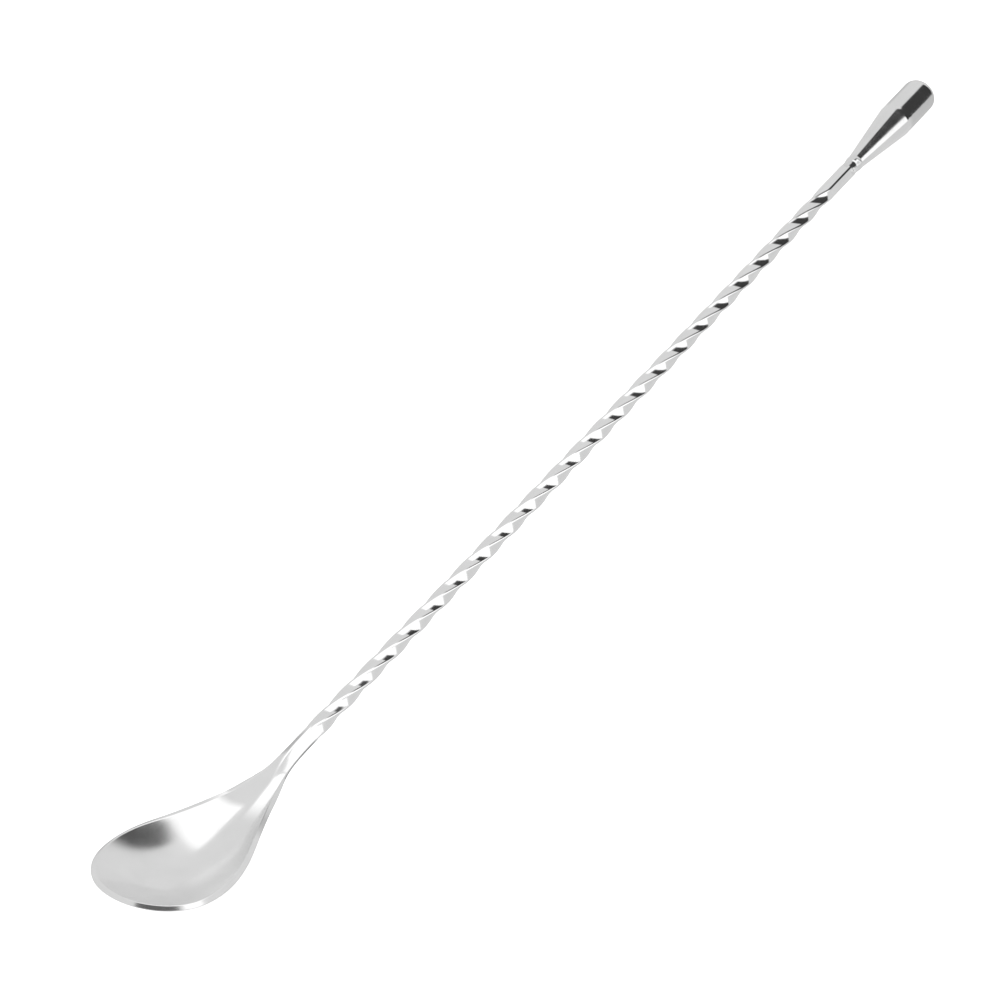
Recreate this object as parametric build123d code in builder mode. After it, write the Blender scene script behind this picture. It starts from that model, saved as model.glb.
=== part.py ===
from build123d import *
import math
import os

# ---------------------------------------------------------------------------
# Bar spoon with a twisted square shaft and a turned drop-shaped counterweight.
# Millimetres.  +X runs along the shaft from the bowl to the weight, +Z is up
# and the bowl opens upwards.  The origin is the centre of the footprint, on
# the table the spoon rests on; the shaft's axis lies AXIS_Z above the table.
# ---------------------------------------------------------------------------

# --- overall ---------------------------------------------------------------
LENGTH = 320.0
TIP_X = -LENGTH / 2       # front tip of the bowl
END_X = LENGTH / 2        # crown of the weight's domed end
NECK_X = -94.85           # where the neck of the bowl ends

# --- shaft -----------------------------------------------------------------
BAR_SIDE = 3.0            # square bar stock
BAR_CORNER_R = 0.56       # rounded long edges of the bar
NECK_WELD_LENGTH = 0.9    # flush butt weld between the neck and the bar
TWIST_START_X = NECK_X + NECK_WELD_LENGTH
TWIST_END_X = 113.4
TWIST_PITCH = 35.58       # advance per full turn, right-handed
START_ANGLE = 45.0        # the neck's bar stands corner-up
BAR_END_X = 123.5         # square shoulder of the bar, under the weld bead
SPIGOT_R = 1.0            # turned spigot that enters the weight
SPIGOT_END_X = 133.0
SPIGOT_CHAMFER = 0.2

# --- weld bead between the bar's shoulder and the cone ---------------------
WELD_LENGTH = 1.3
WELD_START_R = 1.45       # at the bar's shoulder
WELD_CREST_R = 1.78
WELD_CREST_SHARE = 0.55   # place of the crest along the bead

# --- counterweight ---------------------------------------------------------
CONE_START_X = BAR_END_X + WELD_LENGTH
CONE_START_R = 1.65
CONE_START_BEVEL = 0.12
CONE_FACE_R = CONE_START_R - CONE_START_BEVEL
CONE_END_X = 145.7
CONE_END_R = 4.22
BARREL_START_X = 147.0
BARREL_R = 4.12
DOME_X = 157.07           # where the barrel turns into the domed end
BORE_R = SPIGOT_R + 0.01  # the spigot's radius and its clearance
BORE_DEPTH = 8.8          # from the cone's small end

AXIS_Z = CONE_END_R       # the weight's widest ring rests on the table
SHAFT_AXIS = Axis((0, 0, AXIS_Z), (1, 0, 0))

# --- bowl ------------------------------------------------------------------
SHEET = 1.45              # bowl wall, measured vertically
MIN_SIDE_HEIGHT = 0.3     # least height of a section's side edges
RIM_FILLET = 0.3          # the rim's polished edges
BLEND_END_X = -97.0       # from here to the neck the section is the bar's
TOP_BLEND_START_X = -112.0
BOTTOM_BLEND_START_X = -117.0
TRIM_BOTTOM_Z = -5
TRIM_HEIGHT = 40

# Bowl outline from the neck towards the tip: X, half-width
OUTLINE = [
    (NECK_X, 1.80), (-99.6, 1.84), (-103.6, 1.97), (-107.6, 2.42),
    (-111.6, 3.29), (-115.6, 4.46), (-119.5, 5.80), (-124.5, 7.67),
    (-129.5, 9.61), (-134.5, 11.38), (-139.5, 12.62), (-143.9, 13.02),
    (-148.2, 12.68), (-152.0, 11.48), (-155.2, 9.42), (-157.6, 6.95),
    (-159.3, 3.85),
]

# Bowl sections: X, height of the inner bottom line above the shaft's axis,
# crown in z = height + crown*y*y, sketch half-width
SECTIONS = [
    (NECK_X, 0.00, 0.000, 2.05),
    (-97.2, 0.00, 0.000, 2.10),
    (-99.6, 0.00, 0.000, 2.15),
    (-102.0, -0.02, 0.005, 2.25),
    (-104.6, -0.14, 0.035, 2.45),
    (-107.6, -0.46, 0.078, 2.90),
    (-111.6, -1.13, 0.110, 3.90),
    (-115.6, -1.82, 0.107, 5.20),
    (-119.5, -2.37, 0.0915, 6.60),
    (-124.5, -2.70, 0.0700, 8.60),
    (-129.5, -2.74, 0.0546, 10.60),
    (-134.5, -2.20, 0.0437, 12.40),
    (-139.5, -1.06, 0.0366, 13.70),
    (-144.4, 0.73, 0.0318, 14.10),
    (-149.4, 3.28, 0.0280, 13.80),
    (-154.4, 6.72, 0.0240, 12.60),
    (-160.0, 11.45, 0.0195, 10.00),
    (-163.0, 14.40, 0.0175, 9.00),
]

# Spline points across a section, as shares of its half-width
WIDTH_SHARES = (-1.0, -0.8, -0.6, -0.4, -0.25, -0.12, 0.0, 0.12, 0.25, 0.4, 0.6, 0.8, 1.0)


# --- shared geometry -------------------------------------------------------
def across(x, degrees=0.0):
    """Plane square to the shaft at x: local x is +Y, turned about the shaft's axis."""
    angle = math.radians(degrees)
    return Plane(
        origin=(x, 0, AXIS_Z),
        x_dir=(0, math.cos(angle), math.sin(angle)),
        z_dir=(1, 0, 0),
    )


def at(x, radius):
    """Point of a turned profile on Plane.XZ."""
    return (x, AXIS_Z + radius)


def draw_bar_section():
    """Draw the rounded square of the bar in the caller's active sketch."""
    Rectangle(BAR_SIDE, BAR_SIDE)
    fillet(vertices(), BAR_CORNER_R)


# --- bowl surfaces, as heights above the shaft's axis ----------------------
def smooth(start, end, x):
    """0 at start, 1 at end, with level ends."""
    share = min(1.0, max(0.0, (x - start) / (end - start)))
    return share * share * share * (10 - 15 * share + 6 * share * share)


def bar_ridge(y):
    """Upper half of the corner-up bar: two flats and a rounded ridge."""
    half_diagonal = BAR_SIDE / 2 * math.sqrt(2)
    if abs(y) > BAR_CORNER_R / math.sqrt(2):
        return half_diagonal - abs(y)
    corner_centre = half_diagonal - BAR_CORNER_R * math.sqrt(2)
    return corner_centre + math.sqrt(BAR_CORNER_R**2 - y * y)


def top_z(x, height, crown, y):
    bar_share = smooth(TOP_BLEND_START_X, BLEND_END_X, x)
    return (1 - bar_share) * (height + crown * y * y) + bar_share * bar_ridge(y)


def bottom_z(x, height, crown, y):
    bar_share = smooth(BOTTOM_BLEND_START_X, BLEND_END_X, x)
    return (1 - bar_share) * (height + crown * y * y - SHEET) - bar_share * bar_ridge(y)


def section_points(x, height, crown, half_width):
    """Top and bottom points of a bowl section, each from -Y to +Y."""
    widths = [share * half_width for share in WIDTH_SHARES]
    top = [(y, top_z(x, height, crown, y)) for y in widths]
    low = [(y, bottom_z(x, height, crown, y)) for y in widths]
    # The bar's flats would meet or cross at the sides, so keep them apart
    if low[0][1] > top[0][1] - MIN_SIDE_HEIGHT:
        for end in (0, -1):
            low[end] = (low[end][0], top[end][1] - MIN_SIDE_HEIGHT)
    return top, low


# --- pieces ----------------------------------------------------------------
def make_spoon_bowl():
    """Bowl with its neck: a lofted blank, trimmed to the teardrop outline."""
    with BuildPart() as bowl:
        for x, height, crown, half_width in SECTIONS:
            top, low = section_points(x, height, crown, half_width)
            with BuildSketch(across(x)):
                with BuildLine():
                    Spline(*top)
                    Line(top[-1], low[-1])
                    Spline(*reversed(low))
                    Line(low[0], top[0])
                make_face()
        loft()
        with BuildSketch(Plane.XY.offset(TRIM_BOTTOM_Z)):
            with BuildLine():
                rim = Spline(*OUTLINE, (TIP_X, 0), tangents=((-1, 0.02), (0, -1)))
                mirror(rim, about=Plane.XZ)
                neck_x, neck_half_width = OUTLINE[0]
                Line((neck_x, neck_half_width), (neck_x, -neck_half_width))
            make_face()
        extrude(amount=TRIM_HEIGHT, mode=Mode.INTERSECT)
        fillet(bowl.edges().sort_by(SortBy.LENGTH)[-2:], RIM_FILLET)
    return bowl.part


def make_neck_weld():
    """Flush butt weld between the neck and the shaft."""
    with BuildPart() as weld:
        with BuildSketch(across(NECK_X, START_ANGLE)):
            draw_bar_section()
        extrude(amount=NECK_WELD_LENGTH)
    return weld.part


def make_twisted_shaft():
    """Twisted square bar, straight at the weight's end, with a round spigot."""
    twist_length = TWIST_END_X - TWIST_START_X
    end_angle = START_ANGLE + 360.0 * twist_length / TWIST_PITCH
    start = (TWIST_START_X, 0, AXIS_Z)

    with BuildPart() as shaft:
        with BuildLine() as axis_line:
            Line(start, (TWIST_END_X, 0, AXIS_Z))
        # The helix turns the section as it moves along the axis
        with BuildLine() as guide:
            Helix(TWIST_PITCH, twist_length, BAR_SIDE, center=start, direction=(1, 0, 0))
        with BuildSketch(across(TWIST_START_X, START_ANGLE)):
            draw_bar_section()
        sweep(path=axis_line.wires()[0], binormal=guide.wires()[0])
        with BuildSketch(across(TWIST_END_X, end_angle)):
            draw_bar_section()
        extrude(amount=BAR_END_X - TWIST_END_X)
        with BuildSketch(across(BAR_END_X)):
            Circle(SPIGOT_R)
        extrude(amount=SPIGOT_END_X - BAR_END_X)
        chamfer(faces().sort_by(Axis.X)[-1].edges(), SPIGOT_CHAMFER)
    return shaft.part


def make_weight_weld():
    """Weld bead round the spigot, between the bar's shoulder and the cone."""
    shoulder_edge = at(BAR_END_X, WELD_START_R)
    crest = at(BAR_END_X + WELD_CREST_SHARE * WELD_LENGTH, WELD_CREST_R)
    cone_edge = at(CONE_START_X, CONE_FACE_R)

    with BuildPart() as weld:
        with BuildSketch(Plane.XZ):
            with BuildLine():
                Polyline(
                    cone_edge,
                    at(CONE_START_X, BORE_R),
                    at(BAR_END_X, BORE_R),
                    shoulder_edge,
                )
                ThreePointArc(shoulder_edge, crest, cone_edge)
            make_face()
        revolve(axis=SHAFT_AXIS)
    return weld.part


def make_end_weight():
    """Counterweight: cone, shoulder, barrel and domed end, with a blind bore."""
    with BuildPart() as weight:
        with BuildSketch(Plane.XZ):
            with BuildLine():
                Polyline(
                    at(END_X, 0),
                    at(CONE_START_X, 0),
                    at(CONE_START_X, CONE_FACE_R),
                    at(CONE_START_X + CONE_START_BEVEL, CONE_START_R),
                    # the cone's large end eases into the shoulder
                    at(CONE_END_X - 0.25, CONE_END_R - 0.03),
                    at(CONE_END_X + 0.15, CONE_END_R),
                    at(BARREL_START_X, BARREL_R),
                    at(DOME_X, BARREL_R),
                )
                EllipticalCenterArc(
                    at(DOME_X, 0), END_X - DOME_X, BARREL_R, start_angle=0, arc_size=90
                )
            make_face()
        revolve(axis=SHAFT_AXIS)
        with BuildSketch(across(CONE_START_X)):
            Circle(BORE_R)
        extrude(amount=BORE_DEPTH, mode=Mode.SUBTRACT)
    return weight.part


PIECES = {
    "spoon_bowl": make_spoon_bowl,
    "neck_weld": make_neck_weld,
    "twisted_shaft": make_twisted_shaft,
    "weight_weld": make_weight_weld,
    "end_weight": make_end_weight,
}

os.makedirs("parts", exist_ok=True)
for name, make_piece in PIECES.items():
    piece = make_piece()
    piece.label = name
    export_step(piece, f"parts/{name}.step")
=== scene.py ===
"""A polished steel bar spoon, lying on white studio paper.

It lies along X: the bowl at the -X end, a twisted square shaft, and a turned counterweight at
the +X end. The floor is z = 0. The camera stands over the -X, -Y side. Shapes are laid out in
millimetres about the shaft's axis, and turned into metres when their meshes are built.
"""
import math

import bpy
import numpy as np
from mathutils import Matrix, Vector


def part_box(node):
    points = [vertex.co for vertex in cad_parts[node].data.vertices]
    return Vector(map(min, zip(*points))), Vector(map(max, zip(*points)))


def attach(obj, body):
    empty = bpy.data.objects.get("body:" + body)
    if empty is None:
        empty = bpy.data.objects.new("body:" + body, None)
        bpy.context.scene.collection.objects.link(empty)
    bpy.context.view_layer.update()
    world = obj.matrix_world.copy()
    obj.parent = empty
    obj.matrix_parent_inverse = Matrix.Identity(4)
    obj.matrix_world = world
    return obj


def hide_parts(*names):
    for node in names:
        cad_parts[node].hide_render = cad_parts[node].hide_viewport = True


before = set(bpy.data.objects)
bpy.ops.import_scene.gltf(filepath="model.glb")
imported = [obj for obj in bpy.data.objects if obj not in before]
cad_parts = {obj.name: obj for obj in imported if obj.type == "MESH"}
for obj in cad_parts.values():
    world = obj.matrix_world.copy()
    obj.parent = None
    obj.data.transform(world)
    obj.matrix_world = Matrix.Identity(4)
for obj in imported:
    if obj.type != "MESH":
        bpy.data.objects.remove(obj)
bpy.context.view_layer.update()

MM = 0.001
MM_PER_M = 1000.0

# ---------------------------------------------------------------- places along the spoon
bowl_lo, bowl_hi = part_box("spoon_bowl")
neck_lo, neck_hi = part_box("neck_weld")
shaft_lo, shaft_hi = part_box("twisted_shaft")
bead_lo, bead_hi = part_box("weight_weld")
weight_lo, weight_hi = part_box("end_weight")

AXIS_Z = (neck_lo.z + neck_hi.z) / 2 / MM
NECK_X = bowl_hi.x / MM      # the bowl's neck ends and the neck weld begins
SHAFT_X = shaft_lo.x / MM
SPIGOT_X = shaft_hi.x / MM   # tip of the spigot inside the counterweight
BAR_X = bead_lo.x / MM       # the square bar ends
CONE_X = bead_hi.x / MM      # the counterweight's cone begins
END_X = weight_hi.x / MM
WEIGHT_R = (weight_hi.y - weight_lo.y) / 2 / MM


# ---------------------------------------------------------------- small maths
class Spline:
    """Cubic spline through points: clamped where an end slope is given, natural elsewhere."""

    def __init__(self, xs, ys, first_slope=None, last_slope=None):
        x, y = np.array(xs, float), np.array(ys, float)
        if x[0] > x[-1]:
            x, y = x[::-1], y[::-1]
            first_slope, last_slope = last_slope, first_slope
        count = len(x)
        gap = np.diff(x)
        rise = np.diff(y) / gap
        matrix = np.zeros((count, count))
        target = np.zeros(count)
        for i in range(1, count - 1):
            matrix[i, i - 1:i + 2] = gap[i - 1], 2 * (gap[i - 1] + gap[i]), gap[i]
            target[i] = 6 * (rise[i] - rise[i - 1])
        if first_slope is None:
            matrix[0, 0] = 1
        else:
            matrix[0, 0], matrix[0, 1] = 2 * gap[0], gap[0]
            target[0] = 6 * (rise[0] - first_slope)
        if last_slope is None:
            matrix[-1, -1] = 1
        else:
            matrix[-1, -1], matrix[-1, -2] = 2 * gap[-1], gap[-1]
            target[-1] = 6 * (last_slope - rise[-1])
        self.x, self.y, self.gap = x, y, gap
        self.bend = np.linalg.solve(matrix, target)

    def __call__(self, at):
        at = np.asarray(at, float)
        i = np.clip(np.searchsorted(self.x, at) - 1, 0, len(self.gap) - 1)
        gap, bend, y = self.gap[i], self.bend, self.y
        p, q = (self.x[i + 1] - at) / gap, (at - self.x[i]) / gap
        curve = ((p**3 - p) * bend[i] + (q**3 - q) * bend[i + 1]) * gap * gap / 6
        return p * y[i] + q * y[i + 1] + curve


def smooth(lo, hi, x):
    """0 below lo, 1 above hi, with no jump in slope or curvature."""
    t = np.clip((np.asarray(x, float) - lo) / (hi - lo), 0, 1)
    return t**3 * (10 - 15 * t + 6 * t * t)


def unit(v):
    return v / np.maximum(np.linalg.norm(v, axis=-1, keepdims=True), 1e-12)


def circle(x, radius, angles):
    """Points round the axis at x. With x = 0 and radius = 1, the outward normals."""
    return np.stack(
        [np.full(len(angles), x), radius * np.cos(angles), radius * np.sin(angles)], -1)


def closed(a):
    """Repeats the first column after the last, to close a ring."""
    return np.concatenate([a, a[:, :1]], 1)


# ---------------------------------------------------------------- mesh collector
class Skin:
    """Collects points, faces and one normal per face corner."""

    def __init__(self):
        self.points, self.faces, self.normals, self.slots = [], [], [], []
        self.count, self.slot = 0, 0

    def add(self, points):
        points = np.asarray(points, float).reshape(-1, 3)
        start = self.count
        self.points.append(points)
        self.count += len(points)
        return np.arange(start, self.count)

    def face(self, ids, normals):
        self.faces.append([int(i) for i in ids])
        self.normals.append(list(normals))
        self.slots.append(self.slot)

    def grid(self, ids, normals, flip=False):
        """Quads over ids[rows, columns], with triangles where neighbours share a point."""
        rows, cols = ids.shape
        for i in range(rows - 1):
            for j in range(cols - 1):
                quad = [(i, j), (i, j + 1), (i + 1, j + 1), (i + 1, j)]
                kept = [at for k, at in enumerate(quad) if ids[at] != ids[quad[(k + 1) % 4]]]
                if len(kept) < 3:
                    continue
                if flip:
                    kept.reverse()
                self.face([ids[at] for at in kept], [normals[at] for at in kept])

    def strip(self, ring_a, ring_b, normals_a, normals_b=None):
        """Closed band between two rings; normals are one per point, or one for the ring."""
        normals_b = normals_a if normals_b is None else normals_b
        shape = (len(ring_a), 3)
        normals = [np.broadcast_to(np.asarray(n, float), shape) for n in (normals_a, normals_b)]
        self.grid(closed(np.stack([ring_a, ring_b])), closed(np.stack(normals)))

    def tube(self, points, normals):
        ids = self.add(points).reshape(points.shape[:2])
        self.grid(closed(ids), closed(normals))
        return ids

    def cap(self, ring, normal, flip=False):
        self.face(ring[::-1] if flip else ring, [normal] * len(ring))

    def build(self, name, *materials):
        points = (np.concatenate(self.points) + np.array([0, 0, AXIS_Z])) * MM
        mesh = bpy.data.meshes.new(name)
        mesh.from_pydata(points.tolist(), [], self.faces)
        mesh.polygons.foreach_set("use_smooth", [True] * len(mesh.polygons))
        mesh.update()
        mesh.attributes.new("sharp_edge", "BOOLEAN", "EDGE")
        corners = []
        for normals, poly in zip(self.normals, mesh.polygons):
            # a face uses its own normal where a given one would point against it
            flat = tuple(poly.normal)
            if any(sum(p * q for p, q in zip(n, flat)) < 0.05 for n in normals):
                normals = [flat] * len(normals)
            corners.extend(tuple(map(float, n)) for n in normals)
        mesh.normals_split_custom_set(corners)
        mesh.update()
        ob = bpy.data.objects.new(name, mesh)
        bpy.context.scene.collection.objects.link(ob)
        for material in materials:
            mesh.materials.append(material)
        return ob


# ---------------------------------------------------------------- square bar
BAR = 3.0                # width across the flats
CORNER = 0.56            # corner radius
HALF_DIAG = BAR / 2 * math.sqrt(2)              # of the square with sharp corners
CORNER_C = HALF_DIAG - CORNER * math.sqrt(2)    # from the axis to a corner arc's centre
PITCH = 35.58            # length of one full turn
RATE = 2 * math.pi / PITCH
START_DEG = 45.0         # a corner points up at the neck
TWIST_END_X = 113.4
EASE = 0.9               # the twist starts and stops over this length each way
SPIGOT_R = 1.0
SPIGOT_BEVEL = 0.2
BAR_END_SCALE = 0.93     # the bar's end section, drawn in by a small bevel


def bar_section(flat_steps=8, arc_steps=8):
    """Rounded square as (y, z): points and normals, anticlockwise from the foot of the +Y side."""
    points, normals = [], []
    half = BAR / 2 - CORNER
    for k in range(4):
        c, s = math.cos(k * math.pi / 2), math.sin(k * math.pi / 2)
        side = []
        for i in range(flat_steps):
            side.append((BAR / 2, -half + 2 * half * i / flat_steps, 1, 0))
        for i in range(arc_steps):
            turn = math.pi / 2 * i / arc_steps
            ny, nz = math.cos(turn), math.sin(turn)
            side.append((half + CORNER * ny, half + CORNER * nz, ny, nz))
        for y, z, ny, nz in side:
            points.append((y * c - z * s, y * s + z * c))
            normals.append((ny * c - nz * s, ny * s + nz * c))
    return np.array(points), np.array(normals)


def twist(x):
    """Angle of the bar's section at x, and how fast it turns."""
    xs = np.linspace(SHAFT_X - 3, TWIST_END_X + 3, 8001)
    rate = RATE * smooth(SHAFT_X - EASE, SHAFT_X + EASE, xs)
    rate = rate * (1 - smooth(TWIST_END_X - EASE, TWIST_END_X + EASE, xs))
    turned = np.concatenate([[0], np.cumsum((rate[1:] + rate[:-1]) / 2 * np.diff(xs))])
    return math.radians(START_DEG) + np.interp(x, xs, turned), np.interp(x, xs, rate)


def bar_rows(xs):
    """Points and normals of the twisted bar's sections at xs."""
    p, n = bar_section()
    angle, rate = twist(xs)
    c, s = np.cos(angle)[:, None], np.sin(angle)[:, None]
    y, z = p[:, 0] * c - p[:, 1] * s, p[:, 0] * s + p[:, 1] * c
    ny, nz = n[:, 0] * c - n[:, 1] * s, n[:, 0] * s + n[:, 1] * c
    nx = -rate[:, None] * (-ny * z + nz * y)
    points = np.stack([np.repeat(xs[:, None], len(p), 1), y, z], -1)
    return points, unit(np.stack([nx, ny, nz], -1))


def make_shaft(material):
    """The twisted bar, its plain end, and the round spigot beyond it."""
    skin = Skin()
    twisted = np.arange(SHAFT_X, TWIST_END_X + 1.2, 0.26)
    plain = np.linspace(TWIST_END_X + 1.5, BAR_X - 0.1, 12)
    points, normals = bar_rows(np.concatenate([twisted, plain]))
    last, last_normals = bar_rows(np.array([BAR_X]))
    last = last * np.array([1, BAR_END_SCALE, BAR_END_SCALE])
    bevel = unit(last_normals + np.array([0.6, 0, 0]))
    ids = skin.tube(np.concatenate([points, last]), np.concatenate([normals, bevel]))

    angles = np.arctan2(last[0, :, 2], last[0, :, 1])
    outward = circle(0, 1, angles)
    shoulder = skin.add(circle(BAR_X, SPIGOT_R, angles))
    skin.strip(ids[-1], shoulder, (1, 0, 0))
    far = skin.add(circle(SPIGOT_X - SPIGOT_BEVEL, SPIGOT_R, angles))
    skin.strip(shoulder, far, outward)
    nose = skin.add(circle(SPIGOT_X, SPIGOT_R - SPIGOT_BEVEL, angles))
    skin.strip(far, nose, unit(outward + np.array([1, 0, 0])))
    skin.cap(nose, (1, 0, 0))
    skin.cap(ids[0], (-1, 0, 0), flip=True)
    return skin.build("twisted_shaft_bar", material)


def make_neck_weld(material):
    """The short flush length between the bowl's neck and the shaft."""
    skin = Skin()
    ids = skin.tube(*bar_rows(np.linspace(NECK_X, SHAFT_X, 6)))
    skin.cap(ids[-1], (1, 0, 0))
    skin.cap(ids[0], (-1, 0, 0), flip=True)
    return skin.build("neck_weld_flush", material)


# ---------------------------------------------------------------- bowl
# plan outline from the neck to the widest part: x, half width
OUTLINE = [
    (-94.85, 1.76), (-99.6, 1.77), (-103.6, 1.86), (-107.6, 2.20), (-111.6, 2.94),
    (-115.6, 3.97), (-119.5, 5.25), (-124.5, 7.08), (-129.5, 9.02), (-134.5, 10.80),
    (-139.5, 12.04), (-143.9, 12.44),
]
# and from there round to the tip: x, half width
HEAD = [
    OUTLINE[-1], (-148.0, 12.10), (-151.7, 10.94), (-154.85, 8.94), (-157.2, 6.56),
    (-158.82, 3.66), (-159.5, 0.0),
]
# upper surface of the sheet: x, height at y = 0, y^2 term, y^4 term
SECTIONS = [
    (-94.85, 0.000, 0.00000, 0.0000000), (-97.20, 0.000, 0.00000, 0.0000000),
    (-99.60, 0.000, 0.00000, 0.0000000), (-102.00, 0.050, 0.00614, 0.0000000),
    (-104.60, -0.098, 0.03580, 0.0000000), (-106.20, -0.264, 0.05918, 0.0000000),
    (-107.60, -0.456, 0.07811, 0.0000000), (-109.60, -0.789, 0.08488, 0.0010864),
    (-111.60, -1.148, 0.07996, 0.0018910), (-113.60, -1.484, 0.07106, 0.0019418),
    (-115.60, -1.779, 0.06237, 0.0016484), (-117.50, -2.017, 0.05620, 0.0012959),
    (-119.50, -2.207, 0.05177, 0.0009116), (-122.00, -2.348, 0.04831, 0.0005381),
    (-124.50, -2.438, 0.04632, 0.0002978), (-127.00, -2.508, 0.04555, 0.0001483),
    (-129.50, -2.498, 0.04547, 0.0000587), (-132.00, -2.342, 0.04566, 0.0000067),
    (-134.50, -2.039, 0.04585, -0.0000234), (-137.00, -1.602, 0.04563, -0.0000399),
    (-139.50, -1.011, 0.04434, -0.0000459), (-142.00, -0.259, 0.04221, -0.0000454),
    (-144.40, 0.601, 0.04004, -0.0000424), (-147.00, 1.721, 0.03752, -0.0000373),
    (-149.40, 3.031, 0.03437, -0.0000309), (-152.00, 4.777, 0.03039, -0.0000234),
    (-154.40, 6.612, 0.02716, -0.0000173), (-157.20, 8.934, 0.02390, -0.0000117),
    (-160.00, 11.446, 0.02109, -0.0000081), (-163.00, 14.400, 0.01883, -0.0000065),
]
SHEET = 1.45                       # thickness
TOP_TO_BAR = (-112.0, -97.0)       # the upper surface turns into the bar's ridge over these x
LOW_TO_BAR = (-117.0, -97.0)       # and the underside over these
OVERHANG_FADE = (-116.0, -99.0)    # the underside's overhang dies out over these
OVERHANG_GAIN = 1.45
RIM_ROUND = 0.18                   # how far the rim's rounded corners reach
BODY_ROWS, HEAD_ROWS, BOWL_COLS = 190, 64, 81

HEAD_X = HEAD[0][0]
half_width = Spline(*zip(*OUTLINE), 0.0, 0.0)
# the head in polar form about (HEAD_X, 0): the angle is 0 at the tip
head_radius = Spline(
    [math.atan2(y, HEAD_X - x) for x, y in HEAD],
    [math.hypot(y, HEAD_X - x) for x, y in HEAD], 0.0, 0.0)
bottom_line, crown, flank = (
    Spline([s[0] for s in SECTIONS], [s[k] for s in SECTIONS]) for k in (1, 2, 3))


def sheet_z(x, y):
    return bottom_line(x) + (crown(x) + flank(x) * y * y) * y * y


def ridge(y):
    """Upper outline of the bar standing on its corner."""
    y = np.abs(y)
    arc = CORNER_C + np.sqrt(np.maximum(CORNER**2 - y * y, 0))
    return np.where(y <= CORNER / math.sqrt(2), arc, HALF_DIAG - y)


def top_z(x, y):
    bar = smooth(*TOP_TO_BAR, x)
    return (1 - bar) * sheet_z(x, y) + bar * ridge(y)


def low_z(x, y):
    bar = smooth(*LOW_TO_BAR, x)
    return (1 - bar) * (sheet_z(x, y) - SHEET) - bar * ridge(y)


def slope_of(surface, x, y, h=2e-3):
    return ((surface(x + h, y) - surface(x - h, y)) / (2 * h),
            (surface(x, y + h) - surface(x, y - h)) / (2 * h))


def surface_normals(surface, x, y):
    slope_x, slope_y = slope_of(surface, x, y)
    return unit(np.stack([-slope_x, -slope_y, np.ones_like(slope_x)], -1))


def edge_loop(a):
    """Border of a grid, open at the neck: the -Y side, the tip, then back along the +Y side."""
    return np.concatenate([a[:-1, 0], a[-1, :], a[:-1, -1][::-1]])


def overhang(x, y, out_x, out_y):
    """How far the underside's edge stands outside the upper one, as the rim is cut square."""
    slope_x, slope_y = slope_of(sheet_z, x, y)
    climb = np.maximum(slope_x * out_x + slope_y * out_y, 0)
    fade = 1 - smooth(*OVERHANG_FADE, x)
    return OVERHANG_GAIN * fade * SHEET * climb / (1 + climb * climb)


def bowl_plan():
    """Plan positions of the upper surface and the underside: top x, top y, low x, low y."""
    across = np.linspace(-1, 1, BOWL_COLS)
    across = np.sin(across * math.pi / 2) * 0.35 + across * 0.65   # closer towards the rim
    # straight rows along the neck and body
    body_x = NECK_X + (HEAD_X - NECK_X) * np.linspace(0, 1, BODY_ROWS)
    body_w = half_width(body_x)
    # a half disc round the tip, made from a square grid
    along = np.linspace(0, 1, HEAD_ROWS)[1:]
    uu, vv = np.meshgrid(along, across, indexing="ij")
    disc_x, disc_y = uu * np.sqrt(1 - vv * vv / 2), vv * np.sqrt(1 - uu * uu / 2)
    rho, phi = np.hypot(disc_x, disc_y), np.arctan2(disc_y, disc_x)
    radius = head_radius(np.abs(phi))
    top_x = np.concatenate([
        np.repeat(body_x[:, None], BOWL_COLS, 1), HEAD_X - rho * radius * np.cos(phi)])
    top_y = np.concatenate([body_w[:, None] * across[None, :], rho * radius * np.sin(phi)])

    # overhang along the body
    flare = (half_width(body_x + 0.01) - half_width(body_x - 0.01)) / 0.02
    out_x, out_y = -flare / np.hypot(flare, 1), 1 / np.hypot(flare, 1)
    out_x[0] = out_x[-1] = 0.0
    over = overhang(body_x, body_w, out_x, out_y)
    body_dx = (over * out_x)[:, None] * (across * across)[None, :]
    body_dy = (over * out_y)[:, None] * across[None, :]
    # overhang round the head
    angle = np.linspace(0, math.pi / 2, 400)
    radius = head_radius(angle)
    rim_x, rim_y = HEAD_X - radius * np.cos(angle), radius * np.sin(angle)
    out_x, out_y = -np.gradient(rim_y, angle), np.gradient(rim_x, angle)
    size = np.hypot(out_x, out_y)
    out_x, out_y = out_x / size, out_y / size
    sign = np.sign(out_x * (rim_x - HEAD_X) + out_y * rim_y)
    out_x, out_y = out_x * sign, out_y * sign
    out_x[-1], out_y[-1], out_x[0], out_y[0] = 0.0, 1.0, -1.0, 0.0
    over = overhang(rim_x, rim_y, out_x, out_y)
    head_dx = np.interp(np.abs(phi), angle, over * out_x) * rho
    head_dy = np.interp(np.abs(phi), angle, over * out_y) * rho * np.sign(phi)
    low_x = top_x + np.concatenate([body_dx, head_dx])
    low_y = top_y + np.concatenate([body_dy, head_dy])
    return top_x, top_y, low_x, low_y


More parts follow.
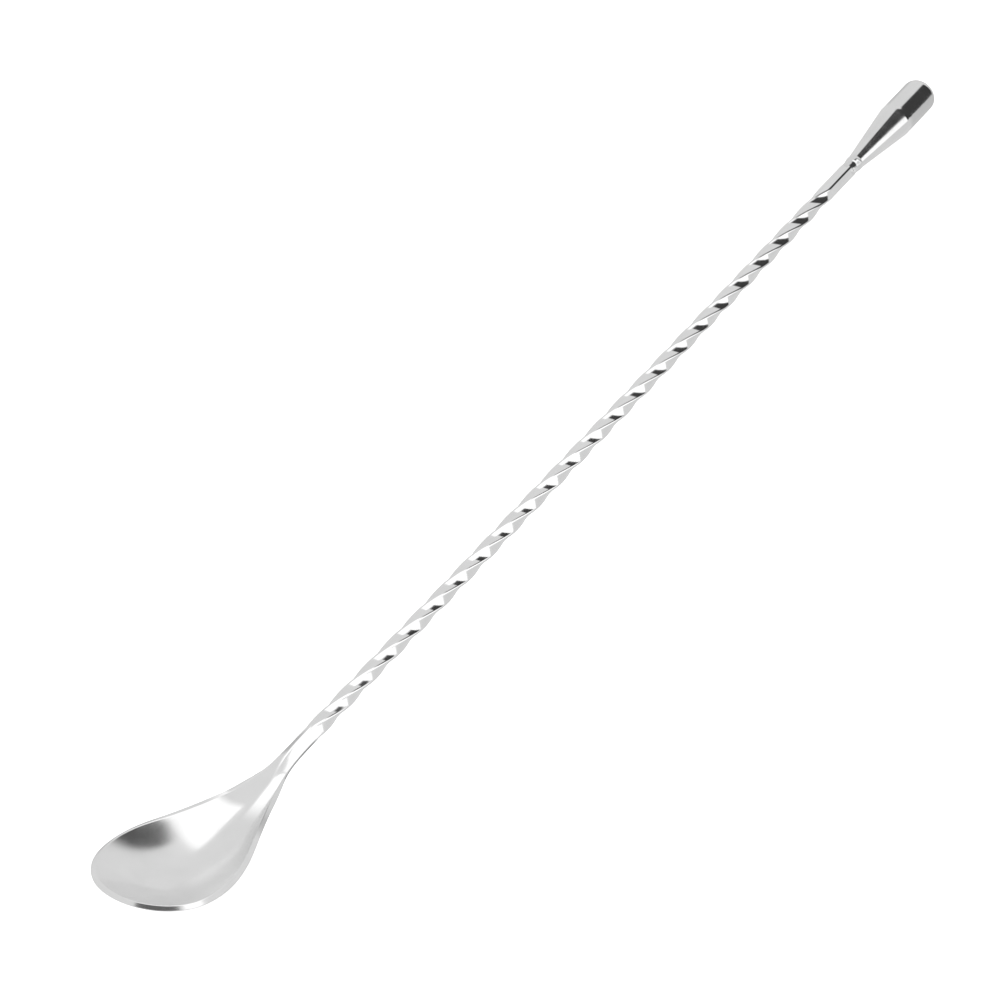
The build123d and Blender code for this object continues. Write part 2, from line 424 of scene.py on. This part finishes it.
def rim_rows(upper, lower, upper_normals, lower_normals):
    """Rows from the upper edge to the lower: a flat band with both corners rounded over."""
    out_up = unit(np.cross(upper_normals, unit(np.gradient(upper, axis=0))))
    out_low = unit(np.cross(unit(np.gradient(lower, axis=0)), lower_normals))
    x, y = upper[:, 0], upper[:, 1]
    in_head = x < HEAD_X
    away = np.stack(
        [np.where(in_head, x - HEAD_X, 0), np.where(in_head, y, np.sign(y)), 0 * x], -1)
    out_up *= np.sign((out_up * away).sum(-1, keepdims=True))
    out_low *= np.sign((out_low * away).sum(-1, keepdims=True))
    reach = np.minimum(RIM_ROUND, 0.3 * np.linalg.norm(upper - lower, axis=-1, keepdims=True))
    corner_up, corner_low = upper + out_up * reach, lower + out_low * reach
    down = unit(corner_low - corner_up)
    span = np.linalg.norm(corner_low - corner_up, axis=-1, keepdims=True)
    inset = down * np.minimum(reach, 0.4 * span)
    flat_up, flat_low = corner_up + inset, corner_low - inset
    outward = unit(out_up + out_low)
    outward = unit(outward - down * (outward * down).sum(-1, keepdims=True))
    rows, normals = [upper], [upper_normals]

    def round_over(first, corner, last):
        for t in np.linspace(0, 1, 6)[1:]:
            rows.append((1 - t) ** 2 * first + 2 * t * (1 - t) * corner + t * t * last)
            tangent = 2 * (1 - t) * (corner - first) + 2 * t * (last - corner)
            normals.append(unit(np.cross(np.cross(down, outward), tangent)))

    round_over(upper, corner_up, flat_up)
    rows += [flat_up + (flat_low - flat_up) * 0.5, flat_low]
    normals += [outward, outward]
    round_over(flat_low, corner_low, lower)
    normals = np.stack(normals)
    sign = np.sign((normals * (outward + 0.001)).sum(-1, keepdims=True))
    normals = normals * np.where(sign == 0, 1, sign)
    normals[0], normals[-1] = upper_normals, lower_normals
    return np.stack(rows), normals


def make_bowl(sheet_material, rim_material):
    """The pressed bowl with its neck."""
    skin = Skin()
    top_x, top_y, low_x, low_y = bowl_plan()
    top_points = np.stack([top_x, top_y, top_z(top_x, top_y)], -1)
    low_points = np.stack([low_x, low_y, low_z(low_x, low_y)], -1)
    top_normals = surface_normals(top_z, top_x, top_y)
    low_normals = -surface_normals(low_z, low_x, low_y)
    top = skin.add(top_points).reshape(top_x.shape)
    low = skin.add(low_points).reshape(low_x.shape)
    skin.grid(top, top_normals)
    skin.grid(low, low_normals, flip=True)
    loops = [edge_loop(a) for a in (top_points, low_points, top_normals, low_normals)]
    rows, normals = rim_rows(*loops)
    inner = skin.add(rows[1:-1]).reshape(rows.shape[0] - 2, rows.shape[1])
    skin.slot = 1
    skin.grid(np.concatenate([edge_loop(top)[None], inner, edge_loop(low)[None]]), normals)
    skin.slot = 0
    # flat end of the neck
    ring = np.concatenate([top[0], inner[:, -1], low[0][::-1], inner[:, 0][::-1]])
    skin.cap(ring, (1, 0, 0), flip=True)
    ob = skin.build("spoon_bowl_pressed", sheet_material, rim_material)
    ob.data.polygons.foreach_set("material_index", skin.slots)
    return ob


# ---------------------------------------------------------------- counterweight
CONE_NOSE_R = 1.50             # flat nose round the bore
CONE_LIP = 0.2                 # length of the short slope behind the nose
CONE_R, CONE_END_R = 1.65, 4.165
BARREL_R = 4.12
CONE_END_X, BARREL_X, DOME_X = 145.7, 146.5, 157.07
CORNER_CUTS = [0.12, 0.40, 0.25]   # rounding at the lip, the cone's end and the barrel's start
BORE_R = 1.01
BORE_DEPTH = 8.8


def soften(points, cuts, steps=6):
    """Rounds a polyline's inner corners with quadratic arcs, and adds points along its runs."""
    points = [np.array(p, float) for p in points]
    rounded = [points[0]]
    for before, corner, after, cut in zip(points, points[1:], points[2:], cuts):
        first = corner + (before - corner) / np.linalg.norm(before - corner) * cut
        last = corner + (after - corner) / np.linalg.norm(after - corner) * cut
        for t in np.linspace(0, 1, steps + 1):
            rounded.append((1 - t) ** 2 * first + 2 * t * (1 - t) * corner + t * t * last)
    rounded.append(points[-1])
    dense = [rounded[0]]
    for a, b in zip(rounded[:-1], rounded[1:]):
        count = max(1, int(np.linalg.norm(b - a) / 0.7))
        for t in range(1, count + 1):
            dense.append(a + (b - a) * t / count)
    return dense


def profile_from(runs):
    """Joins runs of (x, radius) into entries [point, normal before it, normal after it].

    Normals are smooth within a run and break between runs.
    """
    profile = []
    for run in runs:
        points = np.array(run, float)
        if len(points) > 2:
            along = np.gradient(points, axis=0)
        else:
            along = np.repeat(points[1:] - points[:1], 2, 0)
        normals = np.stack([-along[:, 1], along[:, 0]], -1)
        normals /= np.linalg.norm(normals, axis=1, keepdims=True)
        for i, (point, normal) in enumerate(zip(points, normals)):
            if profile and i == 0:
                profile[-1][2] = normal
            else:
                profile.append([point, normal, normal])
    return profile


def revolve(skin, profile, segments):
    """Turns a profile round the axis; a point with radius 0 becomes a pole."""
    angles = np.linspace(0, 2 * math.pi, segments, endpoint=False)
    rings = []
    for (x, radius), _, _ in profile:
        if radius <= 0:
            rings.append(np.repeat(skin.add([(x, 0, 0)]), segments))
        else:
            rings.append(skin.add(circle(x, radius, angles)))
    for i in range(len(profile) - 1):
        after, before = profile[i][2], profile[i + 1][1]
        skin.strip(rings[i], rings[i + 1],
                   unit(circle(*after, angles)), unit(circle(*before, angles)))


def make_weight(material):
    """The turned counterweight: bore, cone, barrel and domed end."""
    skin = Skin()
    bore_x = CONE_X + BORE_DEPTH
    dome_length = END_X - DOME_X
    body = soften(
        [(CONE_X, CONE_NOSE_R), (CONE_X + CONE_LIP, CONE_R), (CONE_END_X, CONE_END_R),
         (BARREL_X, BARREL_R), (DOME_X, BARREL_R)], CORNER_CUTS)
    dome = [(DOME_X + dome_length * math.sin(t), BARREL_R * math.cos(t))
            for t in np.linspace(0, math.pi / 2, 26)]
    dome[-1] = (END_X, 0.0)
    profile = profile_from([
        [(bore_x, 0.0), (bore_x, BORE_R)],
        [(bore_x, BORE_R), (CONE_X, BORE_R)],
        [(CONE_X, BORE_R), (CONE_X, CONE_NOSE_R)],
        [tuple(p) for p in body] + dome[1:],
    ])
    # the dome has an ellipse's exact normals
    for entry in profile:
        x, radius = entry[0]
        if x > DOME_X - 1e-6:
            entry[1] = entry[2] = ((x - DOME_X) / dome_length ** 2, radius / BARREL_R**2)
    revolve(skin, profile, 128)
    return skin.build("end_weight_turned", material)


# ---------------------------------------------------------------- bead
BEAD_SEGMENTS, BEAD_ROWS = 144, 64
BEAD_START_X, BEAD_END_X = BAR_X - 0.75, CONE_X + 3.1
BEAD_START_R = 1.30
BEAD_LEAST_R = 1.70      # over the joint, before its cover
BEAD_COVER = 0.10        # how far it stands over the cone
BEAD_FEATHER = 0.17      # how far it sinks again at its +X end
# x, angle, width along, width around, height
LUMPS = [
    (126.60, 2.50, 0.62, 0.50, 0.32), (125.80, 1.72, 0.40, 0.30, 0.14),
    (125.50, 2.75, 0.30, 0.42, -0.18), (123.90, 2.95, 0.42, 0.34, 0.20),
    (124.30, 2.62, 0.28, 0.22, 0.14), (124.95, 3.05, 0.36, 0.30, 0.16),
    (124.65, 2.72, 0.18, 0.15, -0.22), (123.75, 2.62, 0.18, 0.16, -0.18),
    (125.60, 3.10, 0.24, 0.22, -0.14), (124.10, 1.12, 0.30, 0.24, 0.12),
    (124.85, 0.80, 0.26, 0.20, -0.14), (125.40, 1.20, 0.34, 0.26, 0.12),
    (126.30, 0.90, 0.50, 0.34, 0.12), (124.60, 1.45, 0.22, 0.18, -0.10),
    (126.70, 3.30, 0.50, 0.40, 0.14), (124.20, 4.00, 0.45, 0.50, 0.16),
    (125.60, 4.40, 0.55, 0.45, 0.18), (124.50, 5.10, 0.40, 0.40, 0.12),
    (125.90, 5.40, 0.60, 0.45, 0.16), (124.10, 6.00, 0.35, 0.40, 0.14),
    (125.10, 4.70, 0.25, 0.22, -0.12), (126.20, 0.10, 0.60, 0.40, 0.14),
    (125.00, 5.80, 0.25, 0.22, -0.12),
]


def bead_radius(x, angle):
    def ease(lo, hi):
        t = np.clip((x - lo) / (hi - lo), 0, 1)
        return t * t * (3 - 2 * t)

    start, end = BEAD_START_X, BEAD_END_X
    lip_x = CONE_X + CONE_LIP
    cone = CONE_R + (WEIGHT_R - CONE_R) * (x - CONE_X - CONE_LIP) / (CONE_END_X - lip_x)
    over = np.maximum(cone, BEAD_LEAST_R) + BEAD_COVER - BEAD_FEATHER * ease(end - 1.3, end)
    radius = BEAD_START_R + (over - BEAD_START_R) * ease(start, start + 0.75)
    fade = ease(start, start + 0.8) * (1 - ease(end - 0.9, end))
    for lump_x, lump_angle, along, around, height in LUMPS:
        turn = (angle - lump_angle + math.pi) % (2 * math.pi) - math.pi
        radius = radius + fade * height * np.exp(
            -((x - lump_x) / along) ** 2 - (turn / around) ** 2)
    return radius


def make_bead(material):
    """The lumpy bead round the joint, feathered over the bar's end and the cone's tip."""
    skin = Skin()
    angles = np.linspace(0, 2 * math.pi, BEAD_SEGMENTS, endpoint=False)
    stations = np.linspace(BEAD_START_X, BEAD_END_X, BEAD_ROWS)
    x, angle = np.meshgrid(stations, angles, indexing="ij")
    radius = bead_radius(x, angle)
    h = 1e-3
    slope_x = (bead_radius(x + h, angle) - bead_radius(x - h, angle)) / (2 * h)
    slope_turn = (bead_radius(x, angle + h) - bead_radius(x, angle - h)) / (2 * h)
    points = np.stack([x, radius * np.cos(angle), radius * np.sin(angle)], -1)
    outward = np.stack([0 * x, np.cos(angle), np.sin(angle)], -1)
    around = np.stack([0 * x, -np.sin(angle), np.cos(angle)], -1)
    normals = unit(outward - around * (slope_turn / radius)[..., None]
                   - np.array([1, 0, 0]) * slope_x[..., None])
    ids = skin.tube(points, normals)
    start = skin.add(circle(BEAD_START_X, BORE_R, angles))
    end = skin.add(circle(BEAD_END_X, BORE_R, angles))
    skin.strip(start, ids[0], (-1, 0, 0))
    skin.strip(ids[-1], end, (1, 0, 0))
    skin.strip(end, start, -circle(0, 1, angles))
    return skin.build("weight_weld_bead", material)


# ---------------------------------------------------------------- node helpers
def feed(tree, value, socket):
    """Sets an input socket, by a link or by a plain value."""
    if isinstance(value, Value):
        value = value.socket
    if isinstance(value, bpy.types.NodeSocket):
        tree.links.new(value, socket)
    else:
        socket.default_value = value


def node(tree, kind, **inputs):
    """Adds a node. Inputs go by socket name, with underscores for spaces."""
    made = tree.nodes.new("ShaderNode" + kind)
    for name, value in inputs.items():
        feed(tree, value, made.inputs[name.replace("_", " ")])
    return made


def empty_tree(owner, output_kind):
    owner.use_nodes = True
    tree = owner.node_tree
    tree.nodes.clear()
    return tree, node(tree, output_kind)


class Value:
    """A number inside a node tree, with plain arithmetic."""

    def __init__(self, tree, socket):
        self.tree, self.socket = tree, socket

    def op(self, kind, *others):
        made = node(self.tree, "Math")
        made.operation = kind
        for i, value in enumerate((self,) + others):
            feed(self.tree, value, made.inputs[i])
        return Value(self.tree, made.outputs[0])

    def __add__(self, other):
        return self.op("ADD", other)

    def __sub__(self, other):
        return self.op("SUBTRACT", other)

    def __mul__(self, other):
        return self.op("MULTIPLY", other)

    __radd__ = __add__

    def __rsub__(self, other):
        return (self * -1.0) + other

    def constant(self, number):
        return self * 0.0 + number

    def above(self, lo, hi):
        """0 below lo, 1 above hi, soft between."""
        made = node(self.tree, "MapRange", Value=self, From_Min=lo, From_Max=hi)
        made.interpolation_type = "SMOOTHSTEP"
        return Value(self.tree, made.outputs["Result"])

    def below(self, lo, hi):
        """1 below lo, 0 above hi, soft between."""
        return 1.0 - self.above(lo, hi)

    def past(self, edge, soft):
        return self.above(edge - soft, edge + soft)

    def short_of(self, edge, soft):
        return 1.0 - self.past(edge, soft)


def blend(t, a, b):
    """a where t is 0, b where t is 1."""
    return t * (b - a) + a


def parts_of(tree, vector, axes=3):
    split = node(tree, "SeparateXYZ", Vector=vector)
    return [Value(tree, split.outputs[i]) for i in range(axes)]


def in_mm(values):
    return [value * MM_PER_M for value in values]


def spread(tree, noise_value, low, high):
    """Maps the middle of a noise's range, 0.3 to 0.7, onto low to high."""
    made = node(tree, "MapRange", Value=noise_value, From_Min=0.3, From_Max=0.7,
                To_Min=low, To_Max=high)
    return Value(tree, made.outputs["Result"])


def noise(tree, vector, **settings):
    return node(tree, "TexNoise", Vector=vector, **settings).outputs["Fac"]


def stretched_noise(tree, vector, stretch, rotation=(0, 0, 0), **settings):
    mapping = node(tree, "Mapping", Vector=vector, Rotation=rotation, Scale=stretch)
    return noise(tree, mapping.outputs["Vector"], Scale=1.0, **settings)


# ---------------------------------------------------------------- steel
# textures are read away from the origin, so no noise lattice plane runs along the spoon's middle
TEXTURE_SHIFT = (0.7313, 0.4127, 0.5291)
HOLLOW_DULLING = 0.065   # added roughness on the hollow's -Y wall
HEEL_DULLING = 0.0       # and at its heel, where none is added now
EDGE_PAINTED_SHADE = 0.42    # painted shade: share of tone taken off the neck's cut edge, standing in for a darker reflection
DRAWN_STRENGTH = 0.9     # drawn marks where the hollow runs up into the neck
CHATTER_STRENGTH = 1.0   # tool chatter low on the barrel's -Y side


def drawn_marks(tree, vector, x, y):
    marks = stretched_noise(tree, vector, (130.0, 1500.0, 300.0), Detail=2.0)
    # heel of the hollow, along its middle
    where = (x.above(-131.0, -119.0) * x.below(-110.0, -102.0)
             * y.below(1.5, 4.5) * y.above(-6.5, -3.0))
    return node(tree, "Bump", Distance=0.000035, Strength=where * DRAWN_STRENGTH, Height=marks)


def tool_chatter(tree, vector, x, y, z):
    marks = stretched_noise(tree, vector, (2300.0, 700.0, 700.0), (0, 0, 0.35), Detail=2.0)
    # -Y side of the barrel, up to 2.3 to 3.1 mm over the axis
    where = x.above(146.4, 147.6) * y.below(-1.0, 0.0) * (z - AXIS_Z).below(2.3, 3.1)
    return node(tree, "Bump", Distance=0.00005, Strength=where * CHATTER_STRENGTH, Height=marks)


def steel(name, tone, rough, smudge, grain_scale, grain_height,
          hollow=False, barrel=False, painted_edge_shade=False):
    """Polished steel: a cloudy tone, smudged gloss and fine polishing marks, with painted shade on
    the cut edge when asked.
    """
    material = bpy.data.materials.new(name)
    tree, output = empty_tree(material, "OutputMaterial")
    bsdf = node(tree, "BsdfPrincipled", Metallic=1.0)
    feed(tree, bsdf.outputs[0], output.inputs["Surface"])
    coord = node(tree, "TexCoord").outputs["Object"]
    shifted = node(tree, "Mapping", Vector=coord, Location=TEXTURE_SHIFT).outputs["Vector"]
    if hollow or painted_edge_shade or barrel:
        place = in_mm(parts_of(tree, coord, axes=3 if barrel else 2))

    cloud = noise(tree, shifted, Scale=140.0, Detail=4.0)
    shade = spread(tree, cloud, tone * 0.965, tone * 1.02)
    if painted_edge_shade:
        # painted shade: the tone is darkened along the neck's -Y side of the cut edge, standing in
        # for a darker reflection
        x, y = place
        neck_side_painted_shade = x.above(-126.0, -119.0) * x.below(-97.0, -95.0) * y.below(-1.2, -0.4)
        shade = shade * (1.0 - neck_side_painted_shade * EDGE_PAINTED_SHADE)
    grey = node(tree, "CombineColor", Red=shade, Green=shade, Blue=shade)
    feed(tree, grey.outputs[0], bsdf.inputs["Base Color"])

    grain = stretched_noise(tree, shifted, grain_scale, Detail=3.0, Roughness=0.6)
    smear = Value(tree, noise(tree, shifted, Scale=260.0, Detail=3.0))
    both = Value(tree, grain).op("MULTIPLY_ADD", 0.5, smear * 0.5)
    gloss = spread(tree, both, max(0.01, rough - smudge), rough + smudge)
    if hollow:
        x, y = place
        gloss = gloss + y.below(-6.0, 2.0) * x.below(-108.0, -100.0) * HOLLOW_DULLING
        gloss = gloss + x.above(-142.0, -126.0) * x.below(-108.0, -100.0) * HEEL_DULLING
    feed(tree, gloss, bsdf.inputs["Roughness"])

    bump = node(tree, "Bump", Strength=1.0, Distance=grain_height, Height=grain)
    if hollow or barrel:
        coarse = (drawn_marks if hollow else tool_chatter)(tree, shifted, *place)
        feed(tree, coarse.outputs["Normal"], bump.inputs["Normal"])
    feed(tree, bump.outputs["Normal"], bsdf.inputs["Normal"])
    return material


BOWL_STEEL = steel("bowl_steel", tone=0.84, rough=0.18, smudge=0.02,
                   grain_scale=(300.0, 3200.0, 3200.0), grain_height=0.0000006, hollow=True)
# the rim steel carries painted shade on the neck's cut edge
RIM_STEEL = steel("rim_steel", tone=0.84, rough=0.15, smudge=0.03,
                  grain_scale=(900.0, 900.0, 900.0), grain_height=0.0000008, painted_edge_shade=True)
SHAFT_STEEL = steel("shaft_steel", tone=0.84, rough=0.12, smudge=0.03,
                    grain_scale=(260.0, 2600.0, 2600.0), grain_height=0.0000005)
WEIGHT_STEEL = steel("weight_steel", tone=0.82, rough=0.12, smudge=0.03,
                     grain_scale=(5200.0, 160.0, 160.0), grain_height=0.0000008, barrel=True)
WELD_STEEL = steel("weld_steel", tone=0.80, rough=0.14, smudge=0.04,
                   grain_scale=(1500.0, 1500.0, 1500.0), grain_height=0.000004)


# ---------------------------------------------------------------- pieces
def finish_piece(ob, cad_piece):
    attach(ob, "root")
    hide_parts(cad_piece)


finish_piece(make_bowl(BOWL_STEEL, RIM_STEEL), "spoon_bowl")
finish_piece(make_neck_weld(SHAFT_STEEL), "neck_weld")
shaft = make_shaft(SHAFT_STEEL)
finish_piece(shaft, "twisted_shaft")
shaft.visible_glossy = False   # the other steel doesn't mirror it
finish_piece(make_bead(WELD_STEEL), "weight_weld")
finish_piece(make_weight(WEIGHT_STEEL), "end_weight")

# ---------------------------------------------------------------- studio
# Cards are painted by where a mirrored ray comes from, so each part of the spoon sees its own
# picture. source_x and source_y are the ray's starting place; ranges are in millimetres.
GREY, WHITE, DARK, STAND, FLOOR = 0.785, 1.28, 0.04, 0.12, 0.76   # brightness in reflections


def ray_length(tree):
    return Value(tree, node(tree, "LightPath").outputs["Ray Length"]) * MM_PER_M


def ray_values(tree):
    """Where the ray lands (x, y, z), and the x and y it came from."""
    geometry = node(tree, "NewGeometry")
    x, y, z = in_mm(parts_of(tree, geometry.outputs["Position"]))
    back = parts_of(tree, geometry.outputs["Incoming"], axes=2)
    length = ray_length(tree)
    return x, y, z, x + back[0] * length, y + back[1] * length


def panel(name, corners):
    mesh = bpy.data.meshes.new(name)
    mesh.from_pydata([tuple(c * MM for c in p) for p in corners], [], [(0, 1, 2, 3)])
    ob = bpy.data.objects.new(name, mesh)
    bpy.context.scene.collection.objects.link(ob)
    return ob


def show_mix(tree, output, factor, first, second):
    """Shows the first shader where the factor is 0, the second where it is 1."""
    mix = node(tree, "MixShader")
    for i, value in enumerate((factor, first.outputs[0], second.outputs[0])):
        feed(tree, value, mix.inputs[i])
    feed(tree, mix.outputs[0], output.inputs["Surface"])


def emission_card(name, corners, paint):
    """A card that only reflections see; paint(tree) gives its brightness and how solid it is."""
    ob = panel(name, corners)
    material = bpy.data.materials.new(name + "_light")
    tree, output = empty_tree(material, "OutputMaterial")
    bright, solid = paint(tree)
    glow = node(tree, "Emission", Strength=bright)
    show_mix(tree, output, solid, node(tree, "BsdfTransparent"), glow)
    ob.data.materials.append(material)
    ob.visible_camera = False
    ob.visible_diffuse = False
    ob.visible_shadow = False


def paint_side_wall(tree):
    """A dark flag with soft edges. Left and right are as seen from the spoon, along +X."""
    x, y, z, source_x, source_y = ray_values(tree)
    off = y * -1.0                             # distance to the right
    bar = source_x.above(-112, -96)            # 0 for the bowl, 1 for the rest
    far = source_x.above(60, 128)              # 1 for the counterweight
    hazy = source_x.below(-92, -62)            # 1 up to the first twists
    neck = source_x.above(-123, -115) * source_x.below(-96.0, -94.8)
    # the flag's edges; slopes follow height, or distance for the bowl's top edge
    left = blend(bar, z * 0.1816 + 193.0, blend(far, z * -0.10 + 95.0, z * -0.49 + 221.0))
    # for the bar, the right and top edges shift along the shaft: range of x, then shift
    bar_right = (560.0 - source_x.above(-75, -15) * 170.0
                 + source_x.above(10, 92) * 140.0 + source_x.above(100, 128) * 92.0)
    right = blend(bar, z * 0.246 + 869.0, bar_right)
    bar_top = (740.0 + source_x.above(-70, 0) * 110.0
               + source_x.above(20, 90) * 60.0 + source_x.above(100, 128) * 300.0)
    top = blend(bar, off * 0.224 + 560.0, bar_top)
    bottom = source_x.below(-92, -35) * 460.0 - 80.0
    # half widths of the soft edges
    soft = blend(bar, z.constant(40.0), hazy * 75.0 + 14.0)
    top_soft = blend(bar, z.constant(40.0), 90.0 - source_x.above(-80, -10) * 60.0)
    under = z.below(bottom - 50.0 - hazy * 70.0, bottom + 50.0 + hazy * 70.0)
    flag = off.past(left, soft) * off.short_of(right, soft) * z.short_of(top, top_soft)
    flag = flag * (1.0 - bar * under)
    # neither the neck nor the bowl's -Y side sees the flag
    flag = flag * (1.0 - neck) * (1.0 - source_y.below(-6, -3) * (1.0 - bar))
    beyond = (off.past(right, soft) * bar).op("MAXIMUM", neck)
    background = blend(beyond, z.constant(GREY), z.constant(WHITE))
    bright = blend(flag, background, z.constant(DARK) + hazy * bar * 0.05)
    # for the neck, the wall darkens towards its foot
    bright = bright * (1.0 - neck * z.below(60, 160) * 0.7)
    return bright, z.constant(1.0)


def paint_softbox(tree):
    """A white rectangle overhead, whose x edges shift along the spoon."""
    x, y, z, source_x, source_y = ray_values(tree)
    soft = 35.0
    near = 147.0 - source_x.above(-124, -114) * 45.0
    outer = (566.0 - source_x.above(-60, 20) * 25.0
             - source_x.above(40, 95) * 22.0 - source_x.above(105, 128) * 15.0)
    inside = (x.past(near, soft) * x.short_of(outer, soft)
              * y.short_of(192, 60) * y.above(-2100, -1900))
    # the neck's +Y half doesn't see it
    blind = ((source_x + source_y * 0.45).above(-117.8, -115.6)
             * source_x.below(-104, -101) * source_y.above(-0.4, 0.8))
    return z.constant(WHITE), inside * (1.0 - blind)


def paint_far_sheet(tree):
    """White for the neck's -Y half; the limit in y moves towards +Y along the neck."""
    x, y, z, source_x, source_y = ray_values(tree)
    half = source_y.below(source_x.above(-110, -103) * 0.9 - 0.8,
                          source_x.above(-110, -103) * 0.9 - 0.1)
    solid = source_x.above(-121, -113) * source_x.below(-95, -93.9) * half * z.above(20, 80)
    return z.constant(WHITE), solid


def paint_stand(tree):
    """Nearly black, seen only by the bowl's tip."""
    x, y, z, source_x, source_y = ray_values(tree)
    return z.constant(STAND), source_x.below(-141, -137)


def make_floor():
    """White paper, with a brightness of its own in reflections, where painted shadow and painted
    light are added.
    """
    half = 6000.0
    ob = panel("floor", [(-half, -half, 0), (half, -half, 0), (half, half, 0), (-half, half, 0)])
    ob.location.z = -0.00002   # just under the spoon
    material = bpy.data.materials.new("floor_paper")
    tree, output = empty_tree(material, "OutputMaterial")
    paper = node(tree, "BsdfDiffuse", Color=(0.9, 0.9, 0.9, 1))
    glow = node(tree, "Emission", Strength=0.62)
    lit = node(tree, "AddShader")
    feed(tree, paper.outputs[0], lit.inputs[0])
    feed(tree, glow.outputs[0], lit.inputs[1])
    source_x = ray_values(tree)[3]
    y = ray_values(tree)[1]
    # painted light: the floor reads brighter towards -Y in what the first twists reflect
    painted_floor_light = source_x.above(-97, -94) * source_x.below(-80, -10) * y.below(-300, 50) * 0.24
    # painted shadow: the floor reads darker close under the spoon in reflections, mostly under the
    # bowl
    painted_floor_shadow = (ray_length(tree).below(8, 75) * source_x.below(110, 124)
             * (0.26 - source_x.above(-98, -94) * 0.24))
    # and painted shade: the floor reads darker in what the barrel reflects
    strength = FLOOR - source_x.above(145.5, 148.0) * 0.15 + painted_floor_light - painted_floor_shadow
    mirrored = node(tree, "Emission", Strength=strength)
    glossy = node(tree, "LightPath").outputs["Is Glossy Ray"]
    show_mix(tree, output, glossy, lit, mirrored)
    ob.data.materials.append(material)


def make_world():
    """Even white light; reflections see grey, and white low down towards -X."""
    world = bpy.data.worlds.new("studio")
    bpy.context.scene.world = world
    tree, output = empty_tree(world, "OutputWorld")
    x, _, z = parts_of(tree, node(tree, "TexCoord").outputs["Generated"])
    behind = x.below(-0.25, 0.05) * z.below(0.12, 0.3)
    mirrored = blend(behind, behind.constant(GREY), behind.constant(WHITE))
    glossy = Value(tree, node(tree, "LightPath").outputs["Is Glossy Ray"])
    level = blend(glossy, mirrored.constant(1.0), mirrored)
    background = node(tree, "Background", Color=(1, 1, 1, 1), Strength=level)
    feed(tree, background.outputs[0], output.inputs["Surface"])


def make_camera():
    data = bpy.data.cameras.new("camera")
    camera = bpy.data.objects.new("camera", data)
    bpy.context.scene.collection.objects.link(camera)
    data.sensor_width = 36.0
    data.lens = 169.37
    data.clip_start, data.clip_end = 0.01, 50.0
    eye = Vector((-638.434, -398.103, 678.575 + AXIS_Z)) * MM
    right = Vector((0.5432609, -0.8395636, -0.0007183))
    forward = Vector((0.6196453, 0.4015342, -0.674396))
    turn = Matrix((right, right.cross(forward), -forward)).transposed()
    camera.matrix_world = Matrix.Translation(eye) @ turn.to_4x4()
    bpy.context.scene.camera = camera


emission_card("side_wall", [(600, 500, -5), (600, -1800, -5), (600, -1800, 1100),
                            (600, 500, 1100)], paint_side_wall)
emission_card("softbox", [(60, -2200, 760), (600, -2200, 760), (600, 300, 760),
                          (60, 300, 760)], paint_softbox)
emission_card("far_sheet", [(-700, 500, 0), (598, 500, 0), (598, 500, 1200),
                            (-700, 500, 1200)], paint_far_sheet)
# the dark shape of the camera and its stand, above the bowl's tip
emission_card("camera_stand", [(-330, -640, 750), (90, -640, 750), (90, -60, 750),
                               (-330, -60, 750)], paint_stand)
make_floor()
make_world()
make_camera()

bpy.context.scene.view_settings.view_transform = "Standard"
bpy.context.scene.view_settings.look = "None"
